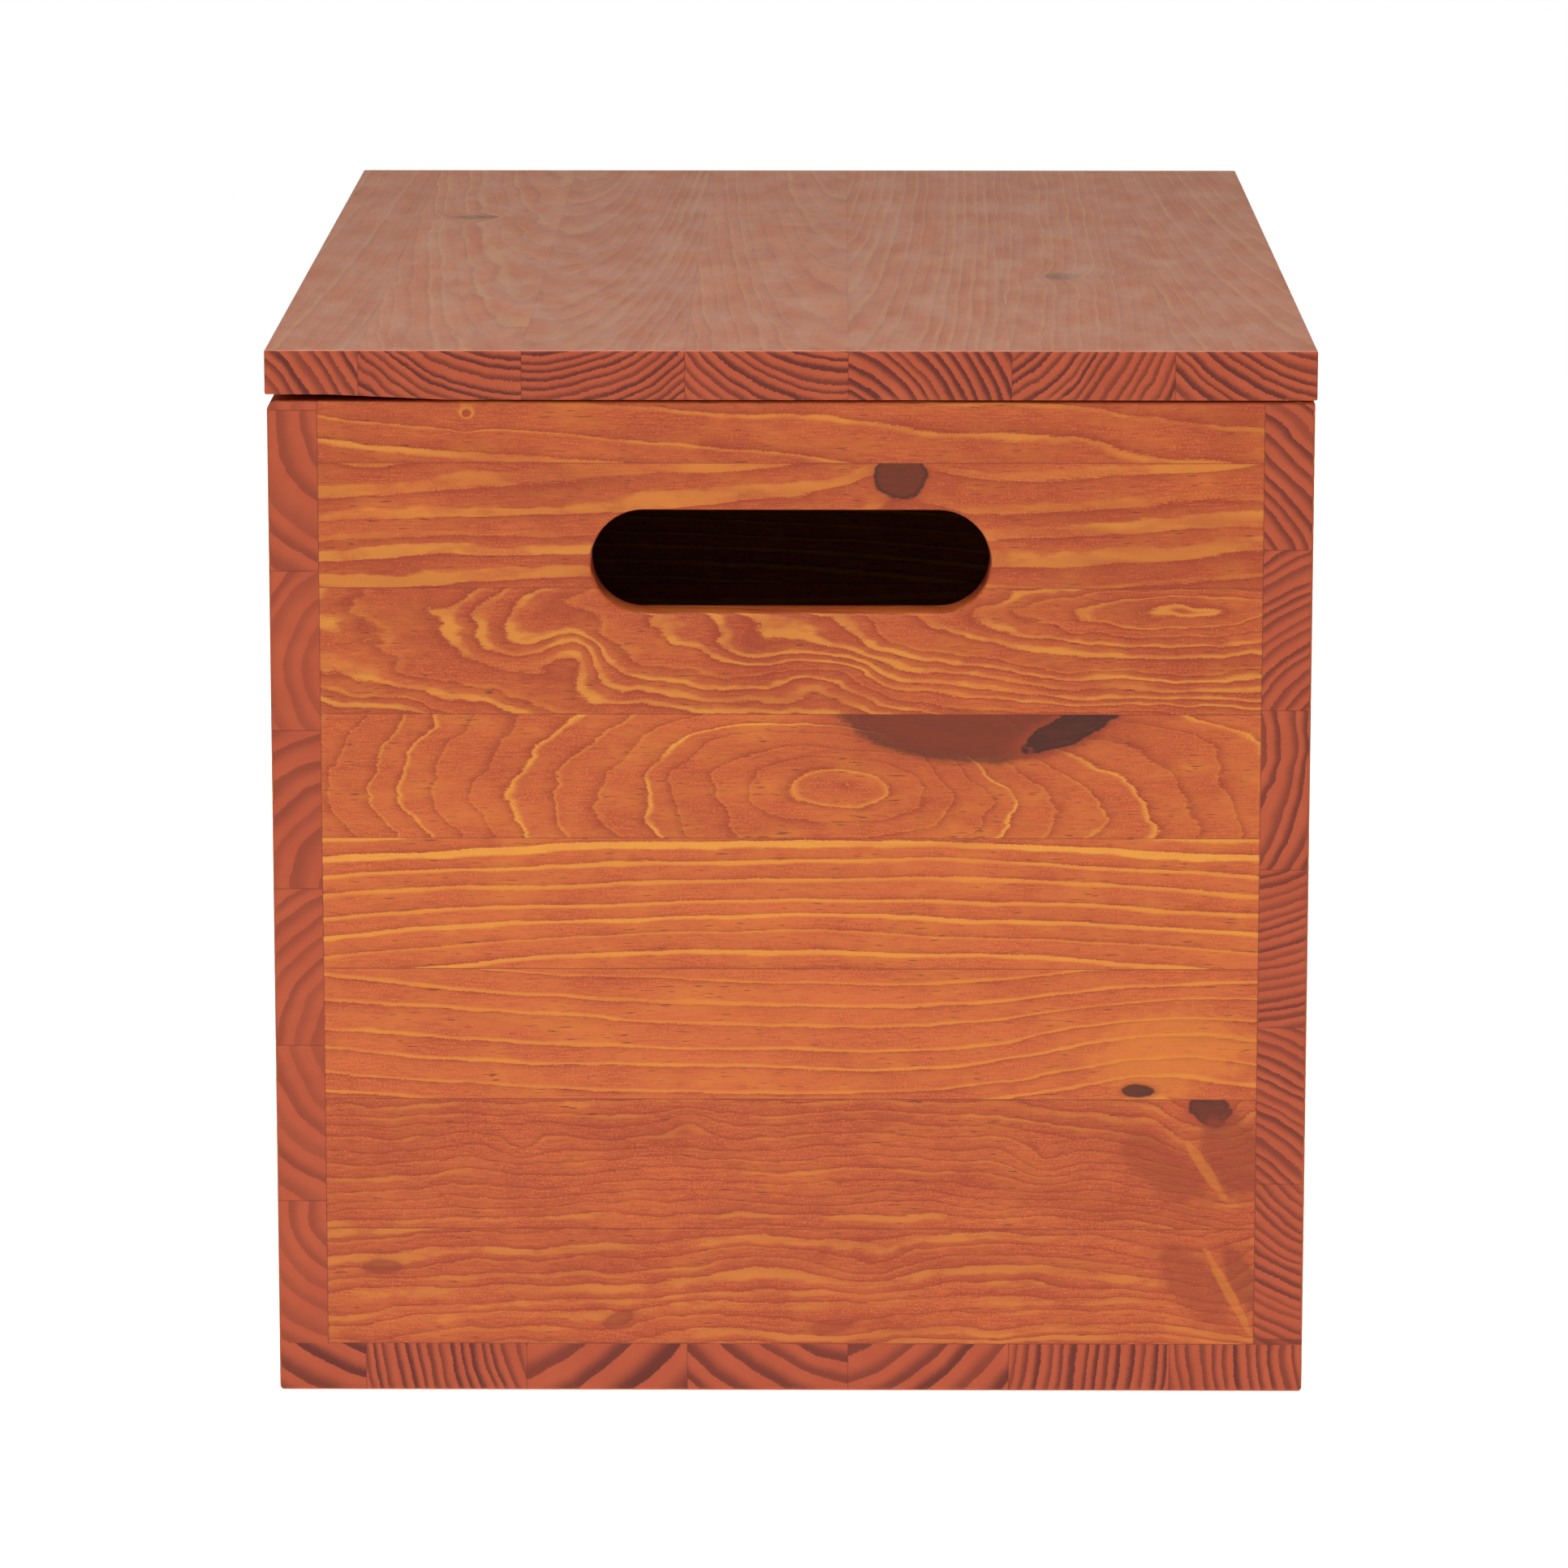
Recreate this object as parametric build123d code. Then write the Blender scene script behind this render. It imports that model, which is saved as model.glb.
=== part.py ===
from build123d import *
import os

# Wooden toy box: five edge-glued pine boards dowelled and glued into an open box, and a hinged board lid.
#
# Frame: +Z up, origin at the centre of the base's underside. The short ends face -Y (front) and +Y (back), and the
# lid opens about the long +X side. All sizes are in millimetres.

# ---------------------------------------------------------------- boards
BOX_WIDTH = 400.0
BOX_LENGTH = 600.0
BOARD = 19.0
WALL_HEIGHT = 372.0
ROUND = 1.6  # sanded outer edges of the box
INNER_ROUND = 1.0  # inner edge of the rim
FINGER_ROUND = 4.0  # outer rim edge under the lid's opening side

LID_GAP = 0.6
LID_PROUD_SIDE = 0.7
LID_PROUD_END = 0.5
LID_ROUND = 0.8
RELIEF_DEPTH = 2.0  # the lid's opening edge is planed thinner underneath, as a finger hold
RELIEF_FLAT = 24.0
RELIEF_RAMP = 46.0

SLOT_WIDTH = 153.0
SLOT_HEIGHT = 40.0
SLOT_BELOW_RIM = 62.0
SLOT_ROUND = 1.5

RIM = BOARD + WALL_HEIGHT
LID_UNDER = RIM + LID_GAP
LID_TOP = LID_UNDER + BOARD
INNER_WIDTH = BOX_WIDTH - 2 * BOARD
INNER_LENGTH = BOX_LENGTH - 2 * BOARD
SIDE_MID = (BOX_WIDTH - BOARD) / 2
END_MID = (BOX_LENGTH - BOARD) / 2
LID_HALF_WIDTH = BOX_WIDTH / 2 + LID_PROUD_SIDE
LID_HALF_LENGTH = BOX_LENGTH / 2 + LID_PROUD_END

# ---------------------------------------------------------------- dowels
DOWEL_RADIUS = 4.0
DOWEL_CHAMFER = 0.8
DOWEL_IN_FACE = 12.5  # length in the board that is drilled through its face
DOWEL_IN_EDGE = 27.5  # length in the board that is drilled into its edge
GLUE = 0.1  # radial room for glue
GLUE_END = 0.8  # room for glue at each end of the hole
SIDE_DOWEL_YS = [-240.0, -120.0, 0.0, 120.0, 240.0]
END_DOWEL_XS = [-120.0, 0.0, 120.0]
CORNER_DOWELS = 4

# ---------------------------------------------------------------- butt hinges
HINGE_YS = {"front": -165.0, "back": 165.0}
HINGE_LENGTH = 60.0
KNUCKLES = 5
KNUCKLE_GAP = 0.3
BARREL_RADIUS = 3.0
BORE_RADIUS = 1.55
PIN_RADIUS = 1.5
PIN_HEAD_RADIUS = 2.5
PIN_HEAD = 1.2
HINGE_CLEARANCE = 0.3
LEAF = 1.4
LEAF_FACE = 0.15  # each leaf's inner face stands this far from the axis plane
LEAF_REACH = 20.0  # from the axis to the leaf's far edge
LEAF_TAB = 2.2  # from the axis to where a leaf runs into its own knuckles
MORTISE_ROOM = 0.2
HINGE_SCREW_FROM_AXIS = 13.0
HINGE_SCREW_YS = [-20.0, 0.0, 20.0]
BOX_SCREW_LENGTH = 16.0
LID_SCREW_LENGTH = 14.0

AXIS_X = LID_HALF_WIDTH + BARREL_RADIUS + HINGE_CLEARANCE
AXIS_Z = RIM + LID_GAP / 2

# ---------------------------------------------------------------- wood screws
SHANK_RADIUS = 1.6
HEAD_RADIUS = 3.0
HEAD_DEPTH = 1.4
HEAD_ROOM = 0.1
PILOT_ROOM = 0.05
TIP = 4.0
RECESS_WIDTH = 0.8
RECESS_SPAN = 3.4
RECESS_DEPTH = 1.0

# ---------------------------------------------------------------- lid stay, a parallelogram on the back end board
# The stay's arm is as long as the line from the hinge axis to the lid pivot, and its link is as long as the line
# from the hinge axis to the arm's pivot, so the arm turns with the lid and the link keeps its direction.
ARM_PIVOT_FROM_AXIS = (-52.0, -82.0)
LID_PIVOT_FROM_AXIS = (-66.0, -12.0)
BAR = 2.5
BAR_HALF_WIDTH = 7.0
BAR_GAP = 0.3
STAY_PLATE = 2.0
STAY_PLATE_WIDTH = 34.0
STAY_PLATE_HEIGHT = 64.0
STAY_PLATE_ROUND = 6.0
STAY_SCREW_OFFSET = 25.0
HOUSING_RADIUS = 15.0
HOUSING_DEPTH = 8.0
HOUSING_ROUND = 1.5
SPINDLE_RADIUS = 4.0
SPINDLE_HEAD_RADIUS = 6.0
RIVET_RADIUS = 2.5
RIVET_HEAD_RADIUS = 4.5
RIVET_HEAD = 1.2
RUNNING = 0.06
BRACKET = 2.0
BRACKET_LENGTH = 44.0
BRACKET_WIDTH = 16.5
BRACKET_ROUND = 4.0
BRACKET_SCREW_OFFSET = 15.0
BRACKET_SCREW_INSET = 6.5
STAY_SCREW_LENGTH = 13.0

END_INNER = INNER_LENGTH / 2
HOUSING_FACE = END_INNER - STAY_PLATE - HOUSING_DEPTH
ARM_BACK = HOUSING_FACE - 0.5
ARM_FACE = ARM_BACK - BAR
LINK_BACK = ARM_FACE - BAR_GAP
LINK_FACE = LINK_BACK - BAR
ARM_PIVOT = (AXIS_X + ARM_PIVOT_FROM_AXIS[0], AXIS_Z + ARM_PIVOT_FROM_AXIS[1])
LID_PIVOT = (AXIS_X + LID_PIVOT_FROM_AXIS[0], AXIS_Z + LID_PIVOT_FROM_AXIS[1])
ELBOW = (ARM_PIVOT[0] + LID_PIVOT_FROM_AXIS[0], ARM_PIVOT[1] + LID_PIVOT_FROM_AXIS[1])

LOW = (Align.CENTER, Align.CENTER, Align.MIN)


def block(x, y, z):
    """A box between two values on each axis."""
    size = [high - low for low, high in (x, y, z)]
    middle = [(high + low) / 2 for low, high in (x, y, z)]
    return Pos(*middle) * Box(*size)


def rod(start, direction, length, radius, end_radius=None):
    """A round bar, or a cone, from a point along a direction."""
    plane = Plane(origin=start, z_dir=direction)
    if end_radius is None:
        return plane * Cylinder(radius, length, align=LOW)
    return plane * Cone(radius, end_radius, length, align=LOW)


def one(shape):
    """The single solid of a boolean's result."""
    solids = shape.solids()
    assert len(solids) == 1, f"expected one solid, found {len(solids)}"
    return solids[0]


# ---------------------------------------------------------------- boards


def sanded_shell():
    """The glued box before it is cut back into boards: its outer and inner edges carry the sanding."""
    outer = block(
        (-BOX_WIDTH / 2, BOX_WIDTH / 2),
        (-BOX_LENGTH / 2, BOX_LENGTH / 2),
        (0, RIM),
    )
    outer = fillet(outer.edges(), ROUND)
    cavity = block(
        (-INNER_WIDTH / 2, INNER_WIDTH / 2),
        (-INNER_LENGTH / 2, INNER_LENGTH / 2),
        (BOARD, RIM + 1),
    )
    shell = outer - cavity
    inner_rim = [
        edge
        for edge in shell.edges().filter_by(Plane.XY)
        if abs(edge.center().Z - RIM) < 1e-6 and abs(edge.center().X) <= INNER_WIDTH / 2 + 1e-6
        and abs(edge.center().Y) <= INNER_LENGTH / 2 + 1e-6
    ]
    return fillet(inner_rim, INNER_ROUND)


def side_blank(sign):
    """A long side board, square-edged but for the finger rounding on the opening side."""
    near, far = sign * INNER_WIDTH / 2, sign * (BOX_WIDTH / 2 + 1)
    blank = block(
        (min(near, far), max(near, far)),
        (-BOX_LENGTH / 2 - 1, BOX_LENGTH / 2 + 1),
        (BOARD, RIM + 1),
    )
    if sign > 0:
        return blank
    corner = block(
        (-BOX_WIDTH / 2 - 1, -BOX_WIDTH / 2 + FINGER_ROUND),
        (-BOX_LENGTH / 2 - 1, BOX_LENGTH / 2 + 1),
        (RIM - FINGER_ROUND, RIM + 1),
    )
    roll = rod(
        (-BOX_WIDTH / 2 + FINGER_ROUND, -BOX_LENGTH / 2 - 1, RIM - FINGER_ROUND),
        (0, 1, 0),
        BOX_LENGTH + 2,
        FINGER_ROUND,
    )
    return blank - (corner - roll)


def end_blank(sign):
    """A short end board with its hand slot cut through it and both of the slot's edges rounded."""
    near, far = sign * INNER_LENGTH / 2, sign * BOX_LENGTH / 2
    board = block(
        (-INNER_WIDTH / 2, INNER_WIDTH / 2),
        (min(near, far), max(near, far)),
        (BOARD, RIM + 1),
    )
    middle = Plane(origin=(0, sign * END_MID, RIM - SLOT_BELOW_RIM), x_dir=(1, 0, 0), z_dir=(0, 1, 0))
    cutter = extrude(middle * SlotOverall(SLOT_WIDTH, SLOT_HEIGHT), BOARD, both=True)
    cut = one(board - cutter)
    mouths = [
        edge
        for edge in cut.edges()
        if abs(edge.center().X) < SLOT_WIDTH / 2 + 1
        and abs(edge.center().Z - (RIM - SLOT_BELOW_RIM)) < SLOT_HEIGHT / 2 + 1
        and abs(edge.bounding_box().size.Y) < 1e-3
    ]
    return fillet(mouths, SLOT_ROUND)


def lid_blank():
    """The lid board, with the shallow relief under its opening edge."""
    board = block(
        (-LID_HALF_WIDTH, LID_HALF_WIDTH),
        (-LID_HALF_LENGTH, LID_HALF_LENGTH),
        (LID_UNDER, LID_TOP),
    )
    flat_end = -LID_HALF_WIDTH + RELIEF_FLAT
    outline = Polyline(
        (-LID_HALF_WIDTH - 1, LID_UNDER - 1),
        (-LID_HALF_WIDTH - 1, LID_UNDER + RELIEF_DEPTH),
        (flat_end, LID_UNDER + RELIEF_DEPTH),
        (flat_end + RELIEF_RAMP, LID_UNDER),
        (flat_end + RELIEF_RAMP, LID_UNDER - 1),
        close=True,
    )
    face = Plane.XZ * make_face(outline)
    relief = extrude(face, LID_HALF_LENGTH + 1, both=True)
    planed = one(board - relief)
    arrises = [
        edge
        for edge in planed.edges()
        if abs(abs(edge.center().X) - LID_HALF_WIDTH) < 1e-6 or abs(edge.center().Z - LID_TOP) < 1e-6
    ]
    return fillet(arrises, LID_ROUND)


# ---------------------------------------------------------------- dowels


def dowel(joint, direction):
    """A dowel across a joint: the direction points into the board that is drilled into its edge."""
    axis = Vector(*direction)
    start = Vector(*joint) - axis * DOWEL_IN_FACE
    peg = rod(start, axis, DOWEL_IN_FACE + DOWEL_IN_EDGE, DOWEL_RADIUS)
    return chamfer(peg.edges().filter_by(GeomType.CIRCLE), DOWEL_CHAMFER)


def dowel_hole(joint, direction):
    """The hole for a dowel, with room for glue."""
    axis = Vector(*direction)
    start = Vector(*joint) - axis * (DOWEL_IN_FACE + GLUE_END)
    return rod(start, axis, DOWEL_IN_FACE + DOWEL_IN_EDGE + 2 * GLUE_END, DOWEL_RADIUS + GLUE)


def dowel_joints():
    """Each dowelled joint: its node's name, and the points and direction of its dowels."""
    joints = {}
    for name, sign in (("left", -1), ("right", 1)):
        joints[f"base_dowels_{name}"] = ([(sign * SIDE_MID, y, BOARD) for y in SIDE_DOWEL_YS], (0, 0, 1))
    for name, sign in (("front", -1), ("back", 1)):
        joints[f"base_dowels_{name}"] = ([(x, sign * END_MID, BOARD) for x in END_DOWEL_XS], (0, 0, 1))
    pitch = WALL_HEIGHT / CORNER_DOWELS
    levels = [BOARD + pitch * (i + 0.5) for i in range(CORNER_DOWELS)]
    for end, y_sign in (("front", -1), ("back", 1)):
        for side, x_sign in (("left", -1), ("right", 1)):
            points = [(x_sign * INNER_WIDTH / 2, y_sign * END_MID, z) for z in levels]
            joints[f"corner_dowels_{end}_{side}"] = (points, (-x_sign, 0, 0))
    return joints


# ---------------------------------------------------------------- screws


def screw(seat, direction, length):
    """A countersunk wood screw: the seat is the middle of its head's face and the direction is where it points."""
    axis = Vector(*direction)
    start = Vector(*seat)
    head = rod(start, axis, HEAD_DEPTH, HEAD_RADIUS, SHANK_RADIUS)
    shank = rod(start + axis * HEAD_DEPTH, axis, length - HEAD_DEPTH - TIP, SHANK_RADIUS)
    tip = rod(start + axis * (length - TIP), axis, TIP, SHANK_RADIUS, SHANK_RADIUS / 5)
    plane = Plane(origin=start, z_dir=axis)
    recess = Box(RECESS_SPAN, RECESS_WIDTH, RECESS_DEPTH, align=LOW) + Box(
        RECESS_WIDTH, RECESS_SPAN, RECESS_DEPTH, align=LOW
    )
    return one(head + shank + tip - plane * recess)


def screw_hole(seat, direction, length):
    """The countersunk hole that a screw sits in, through the metal and into the wood."""
    axis = Vector(*direction)
    start = Vector(*seat)
    above = rod(start - axis * HEAD_DEPTH, axis, HEAD_DEPTH, HEAD_RADIUS + HEAD_ROOM)
    sink = rod(start, axis, HEAD_DEPTH, HEAD_RADIUS + HEAD_ROOM, SHANK_RADIUS + HEAD_ROOM)
    pilot = rod(start, axis, length + PILOT_ROOM, SHANK_RADIUS + PILOT_ROOM)
    return above + sink + pilot


def hinge_screws(side):
    """Where the hinge screws of the box's or the lid's leaves go: seat, direction and length."""
    direction = (0, 0, -1) if side == "box" else (0, 0, 1)
    length = BOX_SCREW_LENGTH if side == "box" else LID_SCREW_LENGTH
    z = AXIS_Z + direction[2] * LEAF_FACE
    x = AXIS_X - HINGE_SCREW_FROM_AXIS
    return [((x, y + offset, z), direction, length) for y in HINGE_YS.values() for offset in HINGE_SCREW_YS]


def stay_body_screws():
    """The two screws that hold the stay's plate to the back end board."""
    y = END_INNER - STAY_PLATE
    return [
        ((ARM_PIVOT[0], y, ARM_PIVOT[1] + offset), (0, 1, 0), STAY_SCREW_LENGTH)
        for offset in (-STAY_SCREW_OFFSET, STAY_SCREW_OFFSET)
    ]


def bracket_screws():
    """The two screws that hold the stay's bracket to the lid."""
    y = ARM_BACK - BRACKET_WIDTH + BRACKET_SCREW_INSET
    return [
        ((LID_PIVOT[0] + offset, y, LID_UNDER - BRACKET), (0, 0, 1), STAY_SCREW_LENGTH)
        for offset in (-BRACKET_SCREW_OFFSET, BRACKET_SCREW_OFFSET)
    ]


# ---------------------------------------------------------------- hinges


def leaf(y_middle, side):
    """One leaf with its knuckles: the box's leaf has the first, third and fifth, and the lid's leaf the others."""
    up = -1 if side == "box" else 1
    first = 0 if side == "box" else 1
    half = HINGE_LENGTH / 2
    z_near, z_far = AXIS_Z + up * LEAF_FACE, AXIS_Z + up * (LEAF_FACE + LEAF)
    z_span = (min(z_near, z_far), max(z_near, z_far))
    plate_end = AXIS_X - BARREL_RADIUS - HINGE_CLEARANCE
    shape = block((AXIS_X - LEAF_REACH, plate_end), (y_middle - half, y_middle + half), z_span)
    pitch = HINGE_LENGTH / KNUCKLES
    for index in range(first, KNUCKLES, 2):
        low = y_middle - half + pitch * index + KNUCKLE_GAP / 2
        high = low + pitch - KNUCKLE_GAP
        barrel = rod((AXIS_X, low, AXIS_Z), (0, 1, 0), high - low, BARREL_RADIUS)
        tab = block((plate_end - 1, AXIS_X - LEAF_TAB), (low, high), z_span)
        shape = shape + barrel + tab
    bore = rod((AXIS_X, y_middle - half - 1, AXIS_Z), (0, 1, 0), HINGE_LENGTH + 2, BORE_RADIUS)
    shape = shape - bore
    for seat, direction, length in hinge_screws(side):
        if abs(seat[1] - y_middle) < half:
            shape = shape - screw_hole(seat, direction, length)
    return one(shape)


def hinge_pin(y_middle):
    """A pin with a low head at each end."""
    half = HINGE_LENGTH / 2
    shank = rod((AXIS_X, y_middle - half, AXIS_Z), (0, 1, 0), HINGE_LENGTH, PIN_RADIUS)
    for direction in (-1, 1):
        start = (AXIS_X, y_middle + direction * half, AXIS_Z)
        head = rod(start, (0, direction, 0), PIN_HEAD, PIN_HEAD_RADIUS, PIN_HEAD_RADIUS * 0.7)
        shank = shank + head
    return one(shank)


def mortises(side):
    """The shallow pockets that take the leaves, open at the outer face."""
    up = -1 if side == "box" else 1
    half = HINGE_LENGTH / 2 + MORTISE_ROOM
    z_face, z_floor = AXIS_Z, AXIS_Z + up * (LEAF_FACE + LEAF)
    x_span = (AXIS_X - LEAF_REACH - MORTISE_ROOM, AXIS_X)
    cuts = [
        block(x_span, (y - half, y + half), (min(z_face, z_floor), max(z_face, z_floor)))
        for y in HINGE_YS.values()
    ]
    return cuts[0] + cuts[1]


# ---------------------------------------------------------------- lid stay


def bar(first, second, y_back, hole_radii):
    """A flat steel bar between two pivots, with round ends and a hole at each."""
    (x1, z1), (x2, z2) = first, second
    ends = [rod((x, y_back, z), (0, -1, 0), BAR, BAR_HALF_WIDTH) for x, z in (first, second)]
    run = Vector(x2 - x1, 0, z2 - z1)
    middle = Vector((x1 + x2) / 2, y_back - BAR / 2, (z1 + z2) / 2)
    plane = Plane(origin=middle, x_dir=run, z_dir=(0, 1, 0))
    shape = ends[0] + ends[1] + plane * Box(run.length, 2 * BAR_HALF_WIDTH, BAR)
    for (x, z), radius in zip((first, second), hole_radii):
        shape = shape - rod((x, y_back + 1, z), (0, -1, 0), BAR + 2, radius)
    return one(shape)


def stay_body():
    """The plate and round damper housing on the end board, with the spindle that carries the arm."""
    x, z = ARM_PIVOT
    plate = block(
        (x - STAY_PLATE_WIDTH / 2, x + STAY_PLATE_WIDTH / 2),
        (END_INNER - STAY_PLATE, END_INNER),
        (z - STAY_PLATE_HEIGHT / 2, z + STAY_PLATE_HEIGHT / 2),
    )
    plate = fillet(plate.edges().filter_by(Axis.Y), STAY_PLATE_ROUND)
    housing = rod((x, END_INNER - STAY_PLATE, z), (0, -1, 0), HOUSING_DEPTH, HOUSING_RADIUS)
    housing = fillet(housing.edges().group_by(Axis.Y)[0], HOUSING_ROUND)
    shape = plate + housing
    for seat, direction, length in stay_body_screws():
        shape = shape - screw_hole(seat, direction, length)
    return one(shape)


def stay_spindle():
    """The stepped pin that stands out of the housing through the arm, with a flat head that keeps the arm on."""
    x, z = ARM_PIVOT
    pin = rod((x, HOUSING_FACE, z), (0, -1, 0), HOUSING_FACE - ARM_FACE + BAR_GAP / 2, SPINDLE_RADIUS)
    head = rod((x, ARM_FACE - BAR_GAP / 2, z), (0, -1, 0), RIVET_HEAD, SPINDLE_HEAD_RADIUS)
    return one(pin + head)


def rivet(point):
    """A rivet through two bars, with a low head at each side."""
    x, z = point
    back = ARM_BACK + RUNNING
    face = LINK_FACE - RUNNING
    shank = rod((x, back, z), (0, -1, 0), back - face, RIVET_RADIUS)
    heads = [
        rod((x, back, z), (0, 1, 0), RIVET_HEAD, RIVET_HEAD_RADIUS, RIVET_HEAD_RADIUS * 0.7),
        rod((x, face, z), (0, -1, 0), RIVET_HEAD, RIVET_HEAD_RADIUS, RIVET_HEAD_RADIUS * 0.7),
    ]
    return one(shank + heads[0] + heads[1])


def lid_bracket():
    """The bent bracket under the lid: a plate with two screws, and a lug that takes the link's rivet."""
    x, z = LID_PIVOT
    plate = block(
        (x - BRACKET_LENGTH / 2, x + BRACKET_LENGTH / 2),
        (ARM_BACK - BRACKET_WIDTH, ARM_BACK),
        (LID_UNDER - BRACKET, LID_UNDER),
    )
    near = [edge for edge in plate.edges().filter_by(Axis.Z) if edge.center().Y < ARM_BACK - 1]
    plate = fillet(near, BRACKET_ROUND)
    lug = rod((x, ARM_BACK, z), (0, -1, 0), BAR, BAR_HALF_WIDTH)
    web = block((x - BAR_HALF_WIDTH, x + BAR_HALF_WIDTH), (ARM_FACE, ARM_BACK), (z, LID_UNDER - BRACKET / 2))
    hole = rod((x, ARM_BACK + 1, z), (0, -1, 0), BAR + 2, RIVET_RADIUS + RUNNING)
    shape = plate + lug + web - hole
    for seat, direction, length in bracket_screws():
        shape = shape - screw_hole(seat, direction, length)
    return one(shape)


# ---------------------------------------------------------------- assembly


def boards():
    """The five boards of the box and the lid, drilled and mortised."""
    shell = sanded_shell()
    made = {
        "base_panel": block(
            (-BOX_WIDTH / 2 - 1, BOX_WIDTH / 2 + 1), (-BOX_LENGTH / 2 - 1, BOX_LENGTH / 2 + 1), (-1, BOARD)
        ),
        "left_side_panel": side_blank(-1),
        "right_side_panel": side_blank(1) - mortises("box"),
        "front_end_panel": end_blank(-1),
        "back_end_panel": end_blank(1),
    }
    made = {name: one(shape & shell) for name, shape in made.items()}
    for points, direction in dowel_joints().values():
        for point in points:
            hole = dowel_hole(point, direction)
            reach = hole.bounding_box()
            for name, board in made.items():
                size = board.bounding_box()
                if all(
                    tuple(reach.min)[i] < tuple(size.max)[i]
                    and tuple(reach.max)[i] > tuple(size.min)[i]
                    for i in range(3)
                ):
                    made[name] = one(board - hole)
    for place in hinge_screws("box"):
        made["right_side_panel"] = one(made["right_side_panel"] - screw_hole(*place))
    for place in stay_body_screws():
        made["back_end_panel"] = one(made["back_end_panel"] - screw_hole(*place))
    lid = lid_blank() - mortises("lid")
    for place in hinge_screws("lid") + bracket_screws():
        lid = lid - screw_hole(*place)
    made["lid_panel"] = one(lid)
    return made


def build():
    """Every node of the toy box, by name."""
    nodes = boards()
    for name, (points, direction) in dowel_joints().items():
        nodes[name] = Compound(children=[dowel(point, direction) for point in points])
    for name, y in HINGE_YS.items():
        nodes[f"hinge_leaf_box_{name}"] = leaf(y, "box")
        nodes[f"hinge_leaf_lid_{name}"] = leaf(y, "lid")
        nodes[f"hinge_pin_{name}"] = hinge_pin(y)
    groups = {
        "hinge_screws_box": hinge_screws("box"),
        "hinge_screws_lid": hinge_screws("lid"),
        "stay_body_screws": stay_body_screws(),
        "stay_bracket_screws": bracket_screws(),
    }
    for name, places in groups.items():
        nodes[name] = Compound(children=[screw(*place) for place in places])
    nodes["stay_body"] = stay_body()
    nodes["stay_spindle"] = stay_spindle()
    arm_holes = (SPINDLE_RADIUS + RUNNING, RIVET_RADIUS + RUNNING)
    nodes["stay_arm"] = bar(ARM_PIVOT, ELBOW, ARM_BACK, arm_holes)
    nodes["stay_link"] = bar(ELBOW, LID_PIVOT, LINK_BACK, (RIVET_RADIUS + RUNNING,) * 2)
    nodes["stay_elbow_rivet"] = rivet(ELBOW)
    nodes["stay_bracket_rivet"] = rivet(LID_PIVOT)
    nodes["stay_lid_bracket"] = lid_bracket()
    return nodes


def main():
    os.makedirs("parts", exist_ok=True)
    for name, shape in build().items():
        export_step(shape, f"parts/{name}.step")
    print("hinge axis", AXIS_X, AXIS_Z)
    print("arm pivot", ARM_PIVOT, "elbow", ELBOW, "lid pivot", LID_PIVOT)


main()
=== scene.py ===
"""Looks of the wooden toy box: stained pine, beech dowels, brass hinges and a steel lid stay.

Places are in metres, in the part's own frame: +Z up, the front end with its hand slot faces -Y.
The wood is computed in millimetres inside its materials, from the tree's own rings: each stave of
a board has its own pith, a line that runs nearly along the grain, and the distance to that line,
bent by knots and by a slow wander, is what the rings are cut from. The same rings then show as
lines on a face and as arcs on the end grain.
"""

import math

import bpy
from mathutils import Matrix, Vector


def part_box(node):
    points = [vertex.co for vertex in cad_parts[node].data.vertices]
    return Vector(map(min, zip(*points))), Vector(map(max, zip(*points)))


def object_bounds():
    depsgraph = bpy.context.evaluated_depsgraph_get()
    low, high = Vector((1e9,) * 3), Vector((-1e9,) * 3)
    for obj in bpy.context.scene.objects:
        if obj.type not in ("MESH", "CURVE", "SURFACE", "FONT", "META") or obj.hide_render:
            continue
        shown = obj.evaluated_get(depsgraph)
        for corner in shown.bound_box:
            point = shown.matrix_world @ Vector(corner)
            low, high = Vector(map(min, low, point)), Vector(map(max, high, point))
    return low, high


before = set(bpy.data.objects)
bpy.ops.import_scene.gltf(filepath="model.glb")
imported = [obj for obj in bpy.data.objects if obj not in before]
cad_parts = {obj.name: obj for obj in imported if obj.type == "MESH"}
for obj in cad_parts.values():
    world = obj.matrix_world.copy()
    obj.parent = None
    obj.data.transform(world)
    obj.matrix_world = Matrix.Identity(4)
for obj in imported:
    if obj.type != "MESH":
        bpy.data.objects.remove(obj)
CAD_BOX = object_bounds()

MM = 1000.0
GRAIN_X, GRAIN_Y = 0, 1

# the room's light at its horizon and overhead, and what is added on its +Y side
ROOM_LOW, ROOM_HIGH, ROOM_BACK = 0.60, 1.05, 1.00
LIGHTS_AIM = (0.0, 0.0, 0.2)
TOP_LIGHT, TOP_SIZE, TOP_POWER = (0.0, -0.8, 2.6), (2.4, 2.4), 90.0
FRONT_LIGHT, FRONT_SIZE, FRONT_POWER = (-0.5, -3.4, 1.2), (2.4, 1.8), 25.0
FLOOR_SIZE, FLOOR_GAP, FLOOR_GLOW = 5.0, 0.0004, 0.80
CAMERA_PLACE = (0.0183, -3.0814, 0.7981)
CAMERA_LENS, SENSOR_WIDTH = 169.1, 36.0
CAMERA_DOWN, CAMERA_TURN = 11.3, 0.43


# ------------------------------------------------------------ a small language for shader nodes

LEAST_SPAN = 1e-6  # of a column of numbers that are all the same


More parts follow.
